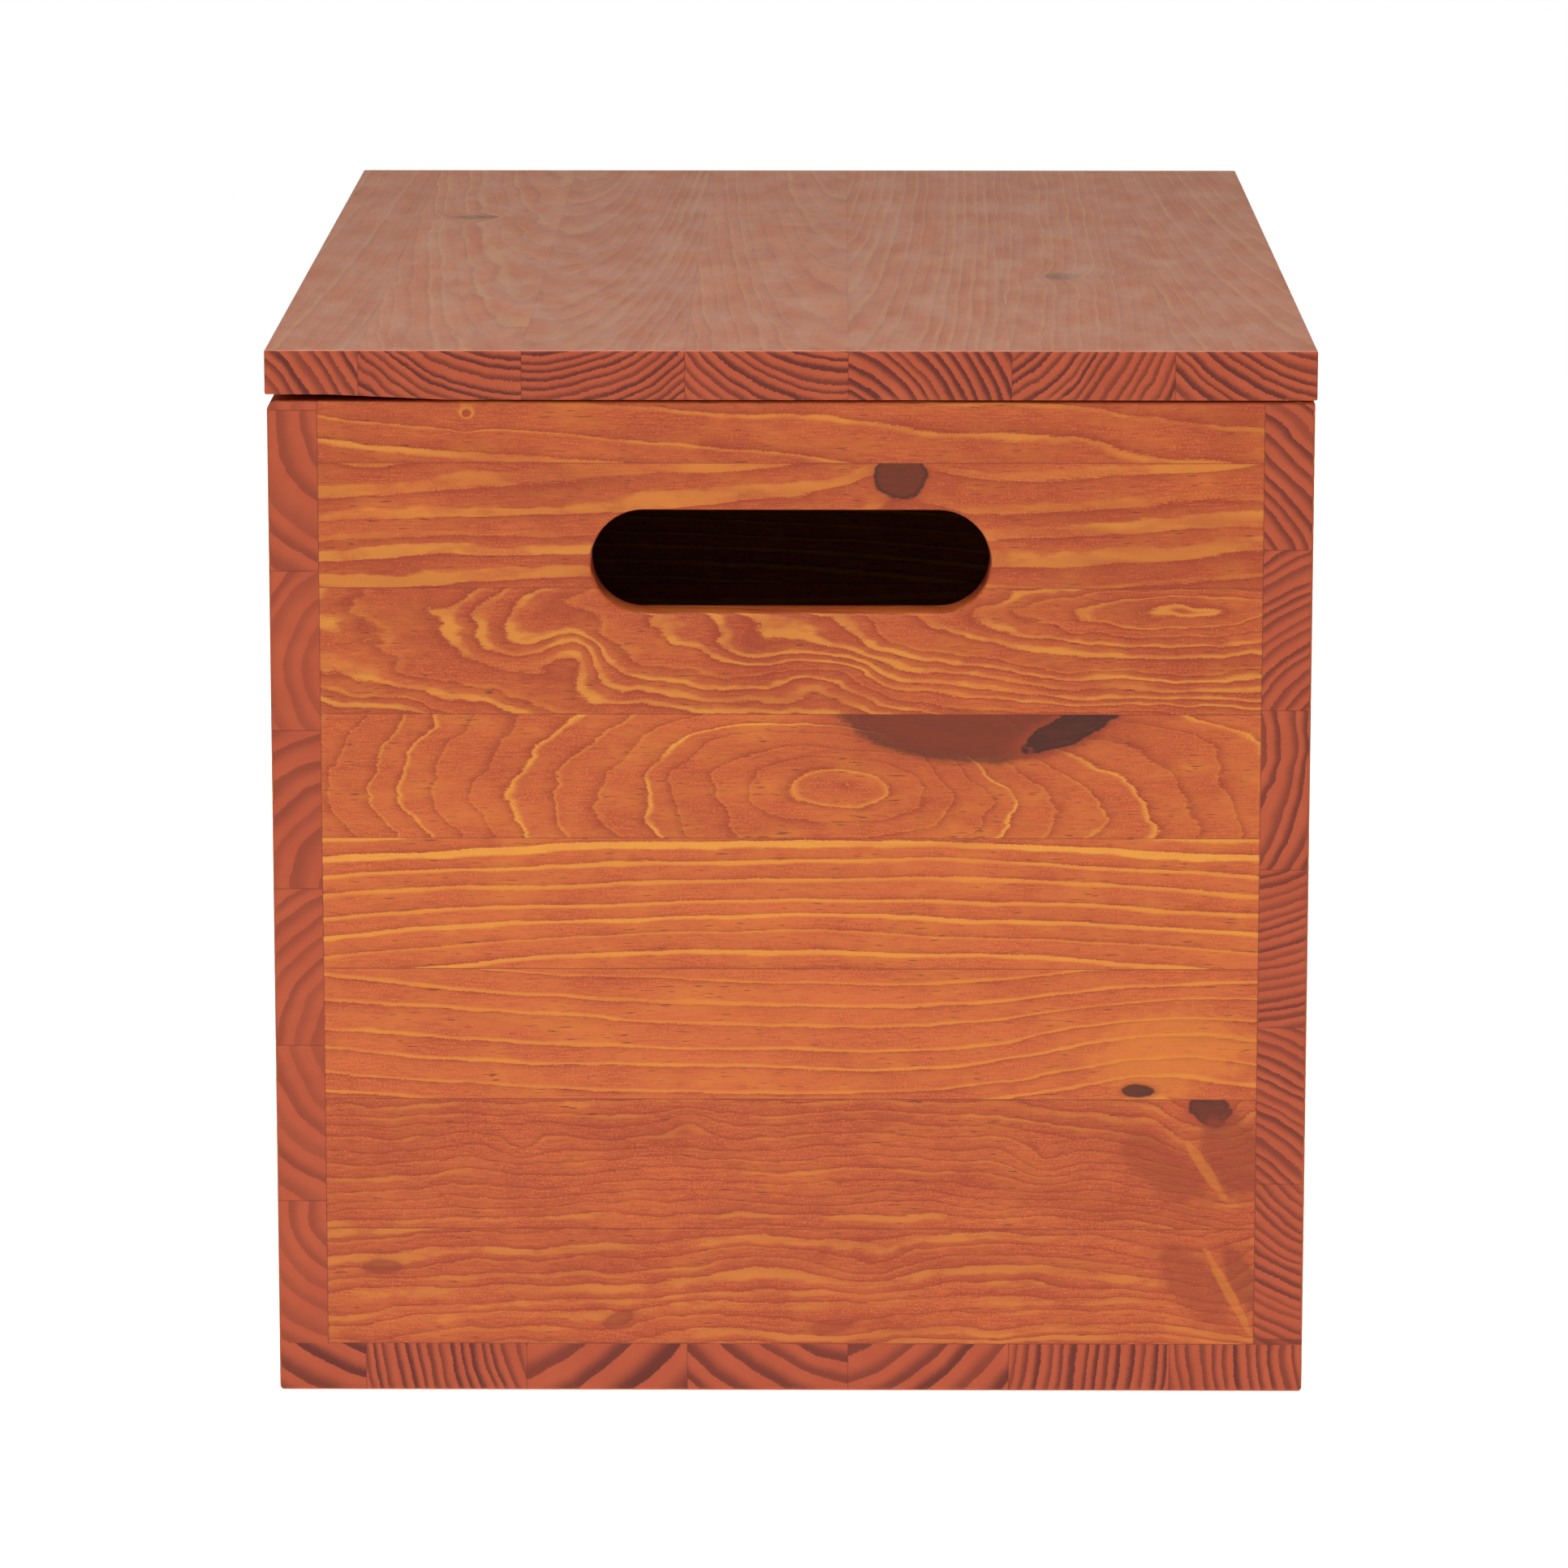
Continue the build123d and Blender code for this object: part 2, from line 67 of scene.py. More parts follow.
class Field:
    """A number that varies over a surface: the output of a node, with the usual arithmetic."""

    def __init__(self, graph, socket):
        self.graph = graph
        self.socket = socket

    def __add__(self, other):
        return self.graph.calc("ADD", self, other)

    def __radd__(self, other):
        return self.graph.calc("ADD", other, self)

    def __sub__(self, other):
        return self.graph.calc("SUBTRACT", self, other)

    def __rsub__(self, other):
        return self.graph.calc("SUBTRACT", other, self)

    def __mul__(self, other):
        return self.graph.calc("MULTIPLY", self, other)

    def __rmul__(self, other):
        return self.graph.calc("MULTIPLY", other, self)

    def __truediv__(self, other):
        return self.graph.calc("DIVIDE", self, other)

    def __rtruediv__(self, other):
        return self.graph.calc("DIVIDE", other, self)


class Graph:
    """The node tree of one material."""

    def __init__(self, name):
        self.material = bpy.data.materials.new(name)
        self.material.use_nodes = True
        self.tree = self.material.node_tree
        self.shader = self.tree.nodes["Principled BSDF"]

    def node(self, kind, **settings):
        made = self.tree.nodes.new(kind)
        for key, value in settings.items():
            setattr(made, key, value)
        return made

    def feed(self, socket, value):
        """Puts a field, a node's output or a plain value into an input."""
        if isinstance(value, Field):
            value = value.socket
        if isinstance(value, bpy.types.NodeSocket):
            self.tree.links.new(value, socket)
        else:
            socket.default_value = value

    def calc(self, operation, *values):
        made = self.node("ShaderNodeMath", operation=operation)
        for socket, value in zip(made.inputs, values):
            self.feed(socket, value)
        return Field(self, made.outputs[0])

    def least(self, first, second):
        return self.calc("MINIMUM", first, second)

    def most(self, first, second):
        return self.calc("MAXIMUM", first, second)

    def root(self, value):
        return self.calc("SQRT", value)

    def size(self, value):
        return self.calc("ABSOLUTE", value)

    def length(self, first, second):
        return self.root(first * first + second * second)

    def bell(self, value, width):
        """1 where the value is 0, falling away over the width."""
        share = value / width
        return self.calc("EXPONENT", share * share * -1.0)

    def step(self, value, low, high):
        """0 below low, 1 above high and smooth between. With low above high it falls instead."""
        made = self.node("ShaderNodeMapRange", interpolation_type="SMOOTHSTEP")
        rising = low <= high
        self.feed(made.inputs["Value"], value)
        made.inputs["From Min"].default_value = min(low, high)
        made.inputs["From Max"].default_value = max(low, high)
        made.inputs["To Min"].default_value = 0.0 if rising else 1.0
        made.inputs["To Max"].default_value = 1.0 if rising else 0.0
        return Field(self, made.outputs["Result"])

    def vector(self, x, y, z):
        made = self.node("ShaderNodeCombineXYZ")
        for socket, value in zip(made.inputs, (x, y, z)):
            self.feed(socket, value)
        return made.outputs[0]

    def surface(self):
        """The place on the part's own axes, in mm, and the direction that the surface faces."""
        where = self.node("ShaderNodeTexCoord")
        scaled = self.node("ShaderNodeVectorMath", operation="SCALE")
        self.feed(scaled.inputs[0], where.outputs["Object"])
        scaled.inputs["Scale"].default_value = MM
        return self.parts(scaled.outputs[0]), self.parts(where.outputs["Normal"])

    def constant(self, **values):
        """Sets the shader's own sockets: Coat_IOR=1.5 is its socket Coat IOR."""
        for key, value in values.items():
            self.shader.inputs[key.replace("_", " ")].default_value = value

    def vary(self, **values):
        """Feeds fields to the shader's sockets."""
        for key, value in values.items():
            self.feed(self.shader.inputs[key.replace("_", " ")], value)

    def parts(self, vector):
        made = self.node("ShaderNodeSeparateXYZ")
        self.tree.links.new(vector, made.inputs[0])
        return [Field(self, output) for output in made.outputs]

    def noise(self, vector, detail=2.0, roughness=0.5):
        """Smooth noise from 0 to 1, a unit of the vector to a feature."""
        made = self.node("ShaderNodeTexNoise")
        self.feed(made.inputs["Vector"], vector)
        made.inputs["Scale"].default_value = 1.0
        made.inputs["Detail"].default_value = detail
        made.inputs["Roughness"].default_value = roughness
        return made

    def wander(self, vector, detail=2.0, roughness=0.5):
        """Three separate noises from -1 to 1."""
        channels = self.parts(self.noise(vector, detail, roughness).outputs["Color"])
        return [channel * 2.0 - 1.0 for channel in channels]

    def grit(self, vector, detail=2.0, roughness=0.5):
        """One noise from 0 to 1."""
        return Field(self, self.noise(vector, detail, roughness).outputs["Fac"])

    def chance(self, value, seed):
        """A random number from 0 to 1 for each whole value."""
        made = self.node("ShaderNodeTexWhiteNoise", noise_dimensions="2D")
        self.feed(made.inputs["Vector"], self.vector(value, seed, 0.0))
        return Field(self, made.outputs["Value"])

    def stairs(self, value, stops):
        """A colour that jumps at each of the (value, colour) stops."""
        made = self.node("ShaderNodeValToRGB")
        band = made.color_ramp
        band.interpolation = "CONSTANT"
        while len(band.elements) < len(stops):
            band.elements.new(0.5)
        for element, (place, colour) in zip(band.elements, stops):
            element.position = place
            element.color = (*colour, 1.0)
        self.feed(made.inputs["Fac"], value)
        return made.outputs["Color"]

    def pick(self, index, rows):
        """For a whole index, the numbers of that row, each as a field.

        Three columns at a time share one ramp of colours, each scaled to run from 0 to 1.
        """
        columns = list(zip(*rows))
        fields = []
        places = [(i - 0.5) / len(rows) if i else 0.0 for i in range(len(rows))]
        value = index * (1.0 / len(rows))
        for start in range(0, len(columns), 3):
            group = columns[start:start + 3]
            spans = [(min(column), max(max(column) - min(column), LEAST_SPAN)) for column in group]
            stops = []
            for i, place in enumerate(places):
                levels = [(column[i] - low) / span for column, (low, span) in zip(group, spans)]
                levels += [0.0] * (3 - len(levels))
                stops.append((place, levels))
            channels = self.parts(self.stairs(value, stops))
            fields += [channel * span + low for channel, (low, span) in zip(channels, spans)]
        return fields

    def mix(self, share, first, second):
        """One colour turning into another."""
        made = self.node("ShaderNodeMix", data_type="RGBA", clamp_factor=True)
        self.feed(made.inputs["Factor"], share)
        colour_inputs = [socket for socket in made.inputs if socket.type == "RGBA"]
        for socket, value in zip(colour_inputs, (first, second)):
            self.feed(socket, value if isinstance(value, bpy.types.NodeSocket) else (*value, 1.0))
        return next(output for output in made.outputs if output.type == "RGBA")

    def bump(self, height, distance, strength):
        """A normal bent by a relief of the given height, its distance in metres."""
        made = self.node("ShaderNodeBump")
        made.inputs["Distance"].default_value = distance
        made.inputs["Strength"].default_value = strength
        self.feed(made.inputs["Height"], height)
        return made.outputs["Normal"]


def srgb(red, green, blue):
    """A colour given as the 0 to 255 levels of a screen."""
    def linear(level):
        level /= 255.0
        return level / 12.92 if level <= 0.04045 else ((level + 0.055) / 1.055) ** 2.4
    return tuple(linear(level) for level in (red, green, blue))


# ------------------------------------------------------------ stained pine

EARLYWOOD = srgb(192, 94, 43)
DEEP_EARLYWOOD = srgb(146, 54, 24)
LATEWOOD = srgb(202, 122, 36)
PALE_LATEWOOD = srgb(210, 140, 50)
END_LIGHT = srgb(156, 64, 34)
END_PALE = srgb(172, 78, 45)
END_DARK = srgb(92, 30, 16)
KNOT = srgb(110, 40, 14)
KNOT_DARK = srgb(46, 19, 6)
SEAM = srgb(98, 34, 18)
# the pale of scuffed wax: mixed into the lid top's colour it is also a painted sheen, and it tints
# the real sheen
SCUFF_AND_SHEEN = srgb(238, 198, 172)
CHIP = srgb(246, 222, 196)
BEECH = srgb(214, 180, 134)
BEECH_FLECK = srgb(176, 134, 90)

PATCH_SOFTNESS = 0.2  # a knot this soft or softer is only a stained patch
STAVE_SEED_STEP = 37.7
SEAM_REACH, JOINT_REACH = 0.30, 0.55  # in mm
SCRATCH_LEAN = (0.94, 0.34)  # how far a scratch runs across and along the grain


def bend_rings(graph, along, across, depth, index, knots, swells):
    """How far knots and swells push the rings aside, and each knot's outline: its reach is 1."""
    outlines = []
    pushes = []
    ragged = graph.wander(graph.vector(along / 7.0, across / 4.0, depth / 12.0), 3.0, 0.6)[0]
    for stave, at, level, long_half, tall_half, darkness, softness, tilt in knots:
        lean, rise = math.cos(math.radians(tilt)), math.sin(math.radians(tilt))
        over, up_by = along - at, across - level
        long_way = (over * lean + up_by * rise) / long_half
        tall_way = (up_by * lean - over * rise) / tall_half
        reach = graph.length(long_way, tall_way)
        here = graph.calc("COMPARE", index, float(stave), 0.5)
        pushes.append(graph.bell(reach, 2.0) * here * (tall_half * 0.8))
        faint = max(softness - 0.12, 0.0) * 3.0
        frayed = reach + ragged * (0.10 + 0.35 * darkness + faint)
        outlines.append((frayed, here * (1.0 - faint), darkness, softness))
    for stave, at, level, long_half, tall_half, height in swells:
        reach = graph.length((along - at) / long_half, (across - level) / tall_half)
        here = graph.calc("COMPARE", index, float(stave), 0.5)
        pushes.append(graph.bell(reach, 1.0) * here * height)
    return pushes, outlines


def paint_knots(graph, colour, outlines, ends, speck, patch, fibre):
    """Each knot's heart with its own rings, a dark outline and a stained halo around it."""
    for reach, here, darkness, softness in outlines:
        shown = here * (1.0 - ends)
        inside = graph.step(reach, 1.0 + softness * 0.3, 1.0 - softness) * shown * 0.96
        rings = graph.calc("FRACT", reach * 3.1 + (speck - 0.5) * 0.2)
        blotches = (patch - 0.5) * (0.30 + 0.6 * darkness) + (fibre - 0.5) * 0.6
        base = KNOT
        if softness >= PATCH_SOFTNESS:
            base = LATEWOOD if darkness < 0.0 else DEEP_EARLYWOOD
        heart = graph.mix(rings * 0.10 + darkness * 0.95 + blotches, base, KNOT_DARK)
        halo = graph.bell(reach - 1.05, 0.35) * shown
        colour = graph.mix(halo * (0.30 + 0.35 * darkness), colour, DEEP_EARLYWOOD)
        colour = graph.mix(inside, colour, heart)
        outline = graph.bell(reach - 1.0, 0.07) * shown * (1.0 - 3.5 * softness)
        colour = graph.mix(outline, colour, KNOT_DARK)
    return colour


def dark_lines(graph, node, place, facing, to_seam, speck, ends, axes):
    """The glue lines between staves, and the joints with the neighbouring boards."""
    gap = graph.step(to_seam, SEAM_REACH, 0.08) * (0.30 + 0.5 * speck)
    low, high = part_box(node)
    borders = []
    for axis in axes:
        middle = (low[axis] + high[axis]) * MM / 2
        half = (high[axis] - low[axis]) * MM / 2
        # the face at the board's own end is no line, so it counts as 3 mm further in
        borders.append(half - graph.size(place[axis] - middle) + graph.size(facing[axis]) * 3.0)
    border = graph.least(*borders)
    joint = graph.step(border, JOINT_REACH, 0.10) * (1.0 - ends) * (0.45 + 0.6 * speck)
    return graph.most(gap, joint)


def edge_wear_and_highlight(graph, colour, place, cloud, whole):
    """The outer edges are painted paler within about 1.6 mm, thinned stain together with a painted
    edge highlight, and a few chips show bare wood.
    """
    away = []
    for axis in range(3):
        middle = (whole[0][axis] + whole[1][axis]) * MM / 2
        half = (whole[1][axis] - whole[0][axis]) * MM / 2
        away.append(half - graph.size(place[axis] - middle))
    nearer, farther = graph.least(away[0], away[1]), graph.most(away[0], away[1])
    from_edge = graph.most(nearer, graph.least(farther, away[2]))
    x, y, z = place
    nick = graph.grit(graph.vector(x / 4.0, y / 4.0, z / 4.0), 3.0, 0.7)
    # a painted highlight along the outer edges, together with thinned stain
    thin_stain_and_highlight = graph.bell(from_edge, 1.6) * graph.step(cloud + nick, 0.85, 1.35) * 0.5
    colour = graph.mix(thin_stain_and_highlight, colour, END_PALE)
    chip = graph.step(nick - from_edge * 0.045, 0.69, 0.72)
    return graph.mix(chip * 0.85, colour, CHIP), chip


def stained_pine(
    name, node, grain, outer_face, seams, staves, knots=(), swells=(), veil=0.0, ends_depth=1.0,
    whole=None,
):
    """A board of glued staves.

    node: the board, whose edges carry a dark line where it meets its neighbours.
    grain: the axis that the fibres run along.
    outer_face: the axis through the board's thickness, and where its outer face lies, in mm.
    seams: the glue lines between staves, in mm, lowest first, along the axis that is left.
    staves: for each stave, lowest first: its pith's offset across from the stave's middle, the
    place along the grain where the pith would cross the outer face, its slope, the ring spacing,
    how far and over what length the rings wander, how wide and how bright the late wood is, and
    how dark the stave's stain is.
    knots: for each: stave, place along the grain, place across, half length, half height,
    darkness, softness and tilt in degrees. The softest are only stained patches: dark ones or,
    with a negative darkness, golden ones.
    swells: bumps in the rings with no knot in them: stave, place along, place across, half
    length, half height, and how far the rings are pushed.
    veil: how pale the scuffed parts of the outer face are, real wear together with a sheen
    painted into their colour. Without one it has no wax either.
    ends_depth: how strongly the late wood darkens the end grain.
    whole: the corners of the box that the board's outer edges belong to, in metres.
    """
    graph = Graph(name)
    place, facing = graph.surface()
    thick, face_place = outer_face
    wide = 3 - grain - thick
    along = place[grain]
    across = place[wide]
    depth = graph.size(place[thick] - face_place)

    # which stave this is, and how far its middle and its edges are
    index = graph.calc("GREATER_THAN", across, seams[0])
    for seam in seams[1:]:
        index = index + graph.calc("GREATER_THAN", across, seam)
    edge_pitch = seams[1] - seams[0]
    edges = [seams[0] - edge_pitch] + list(seams) + [seams[-1] + edge_pitch]
    middles = [(low + high) / 2 for low, high in zip(edges, edges[1:])]
    halves = [(high - low) / 2 for low, high in zip(edges, edges[1:])]
    rows = [(middle, half, *stave) for middle, half, stave in zip(middles, halves, staves)]
    picked = graph.pick(index, rows)
    middle, half, pith, crossing, slope, spacing, amount, stretch, width, glow, tone = picked
    local = across - middle
    to_seam = half - graph.size(local)
    seed = index * STAVE_SEED_STEP + len(name)

    # a slow wander of the rings, and a quicker one on top of it
    slow = graph.wander(graph.vector(along / stretch + seed, local / 22.0, depth / 30.0), 3.0)
    quick = graph.wander(graph.vector(along / 16.0 + seed, local / 7.0, depth / 12.0), 2.0)[0]
    across_wander = slow[0] * amount + quick * 0.45
    depth_wander = slow[1] * amount

    # the rings: how many lie between here and the pith
    radius = graph.length(
        local - pith + across_wander,
        depth + slope * (along - crossing) + depth_wander,
    )
    pushes, outlines = bend_rings(graph, along, across, depth, index, knots, swells)
    for push in pushes:
        radius = radius + push
    count = radius / spacing
    uneven = graph.wander(graph.vector(count * 0.45, seed, 0.0), 1.0)[0]
    count = count + uneven * 0.55

    # fibres, fine across and long along the grain, fine specks, and the stain's clouds
    fibre = graph.grit(graph.vector(along / 8.0, across / 0.85, depth / 0.85), 4.0, 0.65)
    speck = graph.grit(graph.vector(along, across / 0.65, depth / 0.65), 3.0, 0.7)
    cloud = graph.grit(graph.vector(along / 60.0, across / 22.0, depth / 30.0 + seed), 3.0, 0.6)
    patch_place = graph.vector(along / 24.0 + 9.0, across / 9.0, depth / 20.0 + seed)
    patch = graph.grit(patch_place, 3.0, 0.6)
    fading = graph.grit(graph.vector(along / 95.0 + 5.0, across / 12.0 + seed, depth / 30.0), 2.0)
    count = count + (fibre - 0.5) * (1.3 / spacing) + (speck - 0.5) * (1.2 / spacing)
    ring = graph.calc("FLOOR", count)
    share = count - ring
    luck = graph.chance(ring, seed)

    # late wood: it sets in over a short stretch of the year and stops sharply at its end
    start = 1.0 - width * (0.45 + 1.1 * luck) * (0.55 + 0.9 * patch)
    late = graph.least(graph.most((share - start) * (spacing * 1.3), 0.0), 1.0)
    sharp = graph.step((1.0 - share) * spacing, 0.0, 0.25)
    late = late * sharp
    shine = late * glow * (0.70 + 0.42 * luck) * graph.step(speck + fibre, 0.10, 1.15)
    shine = shine * (1.0 - (1.0 - glow) * graph.step(patch + (cloud - 0.5) * 0.6, 0.56, 0.40))
    shine = shine * (0.22 + 0.78 * graph.step(fading + glow * 0.22, 0.42, 0.66))

    # the long grain's colour: deepest at the start of the year
    young = graph.bell(share, 0.24) * 0.20 + graph.bell(share * spacing, 0.6) * 0.24
    base_share = tone + young + (cloud - 0.5) * 0.9 + (fibre - 0.5) * 1.6 + (speck - 0.5) * 2.4
    long_grain = graph.mix(graph.step(base_share, -0.1, 1.1), EARLYWOOD, DEEP_EARLYWOOD)
    warm = graph.step(patch + (speck * 1.4 + fibre * 0.4 - 0.9), 0.50, 0.78) * (0.10 + 0.42 * glow)
    long_grain = graph.mix(warm, long_grain, LATEWOOD)
    long_grain = graph.mix(shine, long_grain, graph.mix(luck, LATEWOOD, PALE_LATEWOOD))
    streak = graph.grit(graph.vector(along / 7.5, across / 0.75, depth / 0.8 + 7.0), 1.0)
    canal = graph.step(streak + (patch - 0.5) * 0.35, 0.65, 0.77) * 0.75 * (1.0 - late)
    long_grain = graph.mix(canal, long_grain, SEAM)

    # the end grain's colour
    pores = graph.grit(graph.vector(across / 0.35, depth / 0.35, along / 3.0), 2.0, 0.7)
    end_grain = graph.mix(graph.step(pores * 0.7 + cloud * 0.5, 0.35, 0.85), END_LIGHT, END_PALE)
    band = graph.step(share + (pores - 0.5) * 0.20, 0.28, 0.82) * graph.step(share, 1.0, 0.95)
    band = band * ends_depth * (0.55 + 0.45 * luck) * (0.45 + 0.8 * pores)
    end_grain = graph.mix(band, end_grain, END_DARK)

    ends = graph.step(graph.size(facing[grain]), 0.55, 0.85)
    colour = graph.mix(ends, long_grain, end_grain)

    colour = paint_knots(graph, colour, outlines, ends, speck, patch, fibre)
    line = dark_lines(graph, node, place, facing, to_seam, speck, ends, (grain, wide))
    colour = graph.mix(line, colour, SEAM)

    # handling: cloudy wear and fine scratches, and a pale sheen painted into the upward face's
    # colour, under a dusty wax that is palest at a low angle
    if veil:
        up = graph.step(facing[thick], 0.6, 0.9)
        haze = graph.grit(graph.vector(along / 45.0, across / 16.0, 3.0), 4.0, 0.6)
        down_scratch = across * SCRATCH_LEAN[0] + along * SCRATCH_LEAN[1]
        over_scratch = along * SCRATCH_LEAN[0] - across * SCRATCH_LEAN[1]
        scratch = graph.grit(graph.vector(over_scratch / 0.9, down_scratch / 70.0, 5.0), 2.0, 0.6)
        scratches = graph.step(scratch + (haze - 0.5) * 0.35, 0.66, 0.76) * 0.9
        cloudy = graph.step(haze + (speck - 0.5) * 0.4, 0.30, 1.0)
        # the upward face is painted paler here: real scuffs together with a painted sheen
        scuffs_and_painted_sheen = (0.30 + graph.most(cloudy, scratches) * 0.70) * up * veil
        colour = graph.mix(scuffs_and_painted_sheen, colour, SCUFF_AND_SHEEN)

    colour, chip = edge_wear_and_highlight(graph, colour, place, cloud, whole)
    grain_relief = fibre * 0.5 + speck * 0.25 + late * 0.12 * (1.0 - ends) + pores * ends * 0.3
    graph.vary(
        Base_Color=colour,
        Roughness=0.42 + speck * 0.16 + ends * 0.08,
        Normal=graph.bump(grain_relief - line * 0.8 - chip, 0.00010, 0.6),
    )
    graph.constant(IOR=1.36)
    if veil:
        bloom = 0.10 + 1.2 * haze + 0.6 * late + 0.6 * scratches + (speck - 0.5) * 0.8
        graph.vary(Coat_Weight=up * (0.50 + 0.40 * haze), Sheen_Weight=up * graph.most(bloom, 0.0))
        graph.constant(Coat_Roughness=0.30, Coat_IOR=1.50)
        graph.constant(Sheen_Roughness=0.35, Sheen_Tint=(*SCUFF_AND_SHEEN, 1.0))
    return graph.material


def metal(name, light, dark, roughness, fine):
    """Worn sheet metal, brushed along Y and clouded. fine is the brushing's width in mm."""
    graph = Graph(name)
    (x, y, z), _ = graph.surface()
    brushed = graph.grit(graph.vector(x / fine, y / 14.0, z / fine), 3.0, 0.6)
    cloud = graph.grit(graph.vector(x / 9.0, y / 9.0, z / 9.0), 3.0, 0.6)
    colour = graph.mix(graph.step(cloud * 0.7 + brushed * 0.3, 0.35, 0.7), light, dark)
    graph.vary(
        Base_Color=colour,
        Roughness=roughness + brushed * 0.18 + cloud * 0.12,
        Normal=graph.bump(brushed, 0.00003, 0.6),
    )
    graph.constant(Metallic=1.0)
    return graph.material


def bare_beech(name):
    """Pale, finely flecked dowel wood."""
    graph = Graph(name)
    (x, y, z), _ = graph.surface()
    fleck = graph.grit(graph.vector(x / 0.5, y / 0.5, z / 3.0), 2.0, 0.6)
    colour = graph.mix(graph.step(fleck, 0.35, 0.7), BEECH, BEECH_FLECK)
    graph.vary(
        Base_Color=colour,
        Roughness=0.6 + fleck * 0.15,
        Normal=graph.bump(fleck, 0.00008, 0.5),
    )
    return graph.material


# ------------------------------------------------------------ the boards

FRONT_SEAMS = [65.5, 117.5, 169.3, 221.0, 269.6, 318.8, 367.2]
LID_SEAMS = [-165.0 + 62.3 * i for i in range(6)]
BASE_SEAMS = [-166.0 + 62.8 * i for i in range(6)]
LEFT_SEAMS = [76.4 + 62.2 * i for i in range(6)]
RIGHT_SEAMS = [83.8 + 62.5 * i for i in range(5)]

# Staves: pith across, crossing, slope, spacing, wander, over, late wood's width, its glow, stain.
# Knots: stave, along, across, half length, half height, darkness, softness, tilt.
# Swells: stave, along, across, half length, half height, push.
FRONT_STAVES = [
    (-60.0, 200.0, 0.10, 5.0, 6.0, 45.0, 0.45, 0.34, 0.60),
    (-90.0, 0.0, 0.12, 4.6, 5.0, 38.0, 0.30, 0.30, 0.60),
    (120.0, 60.0, 0.20, 8.5, 4.0, 85.0, 0.26, 0.80, 0.30),
    (-105.0, 10.0, 0.22, 7.2, 3.4, 100.0, 0.28, 0.90, 0.32),
    (-3.0, 24.0, 0.42, 5.6, 6.0, 60.0, 0.16, 0.90, 0.42),
    (15.0, 150.0, 0.17, 3.6, 6.5, 46.0, 0.34, 0.58, 0.62),
    (70.0, -900.0, 0.06, 8.0, 7.0, 100.0, 0.45, 0.50, 0.62),
    (-60.0, -600.0, 0.084, 9.0, 3.5, 60.0, 0.16, 0.60, 0.60),
]
FRONT_KNOTS = [
    (6, 42.0, 362.5, 9.5, 9.0, 0.30, 0.05, 0.0),
    (4, 72.0, 278.0, 54.0, 26.0, 0.0, 0.10, 0.0),
    (4, 108.0, 264.5, 19.0, 5.5, 0.8, 0.05, 24.0),
    (2, 146.0, 136.0, 34.0, 18.0, -0.6, 0.34, 12.0),
    (2, 135.0, 121.0, 6.0, 2.6, 0.6, 0.10, 0.0),
    (1, 163.0, 113.5, 8.0, 6.0, 0.8, 0.05, -20.0),
    (1, 172.0, 96.0, 18.0, 11.0, 0.2, 0.22, -60.0),
    (1, 146.0, 90.0, 20.0, 9.0, 0.1, 0.24, -35.0),
    (1, 161.0, 90.0, 16.0, 2.4, -0.6, 0.33, -57.0),
    (0, 157.0, 44.0, 20.0, 9.0, 0.1, 0.24, -50.0),
    (0, 176.0, 46.0, 14.0, 5.0, 0.2, 0.22, -65.0),
    (0, 170.5, 41.0, 22.0, 2.1, -0.6, 0.33, -62.0),
    (0, -159.0, 50.0, 7.0, 3.0, 0.2, 0.20, 0.0),
    (0, -67.0, 29.0, 6.0, 3.0, 0.2, 0.20, 20.0),
    (0, 16.0, 26.0, 8.0, 3.0, 0.0, 0.22, 10.0),
]
FRONT_SWELLS = [
    (4, 50.0, 256.0, 12.0, 9.0, -5.0),
    (5, -84.0, 292.0, 12.0, 14.0, 6.0),
    (5, 12.0, 280.0, 22.0, 14.0, 8.0),
    (7, -124.0, 385.0, 5.0, 4.0, 7.0),
    (1, -105.0, 98.0, 9.0, 7.0, 6.0),
    (1, -40.0, 108.0, 8.0, 6.0, -5.0),
    (1, 100.0, 92.0, 14.0, 9.0, 8.0),
    (0, 30.0, 48.0, 16.0, 9.0, 7.0),
]
BACK_STAVES = [
    (80.0, -100.0, 0.12, 9.0, 3.0, 90.0, 0.30, 0.8, 0.30),
    (-70.0, 300.0, 0.16, 8.0, 4.0, 70.0, 0.25, 0.9, 0.45),
    (8.0, -60.0, 0.30, 7.0, 5.0, 60.0, 0.25, 0.9, 0.35),
    (95.0, 40.0, 0.15, 10.0, 3.0, 120.0, 0.40, 0.9, 0.25),
    (-90.0, -20.0, 0.20, 7.0, 2.0, 140.0, 0.22, 1.0, 0.40),
    (60.0, -400.0, 0.10, 12.0, 6.0, 90.0, 0.55, 0.8, 0.35),
    (-14.0, 110.0, 0.38, 8.0, 5.0, 60.0, 0.20, 0.9, 0.45),
    (-60.0, 500.0, 0.09, 10.0, 3.0, 80.0, 0.20, 0.8, 0.30),
]
BACK_KNOTS = [
    (3, -112.0, 205.0, 11.0, 8.0, 0.5, 0.08, 12.0),
    (0, 60.0, 40.0, 7.0, 5.0, 0.45, 0.08, 12.0),
    (6, -40.0, 352.0, 4.0, 3.0, 0.4, 0.08, 12.0),
]
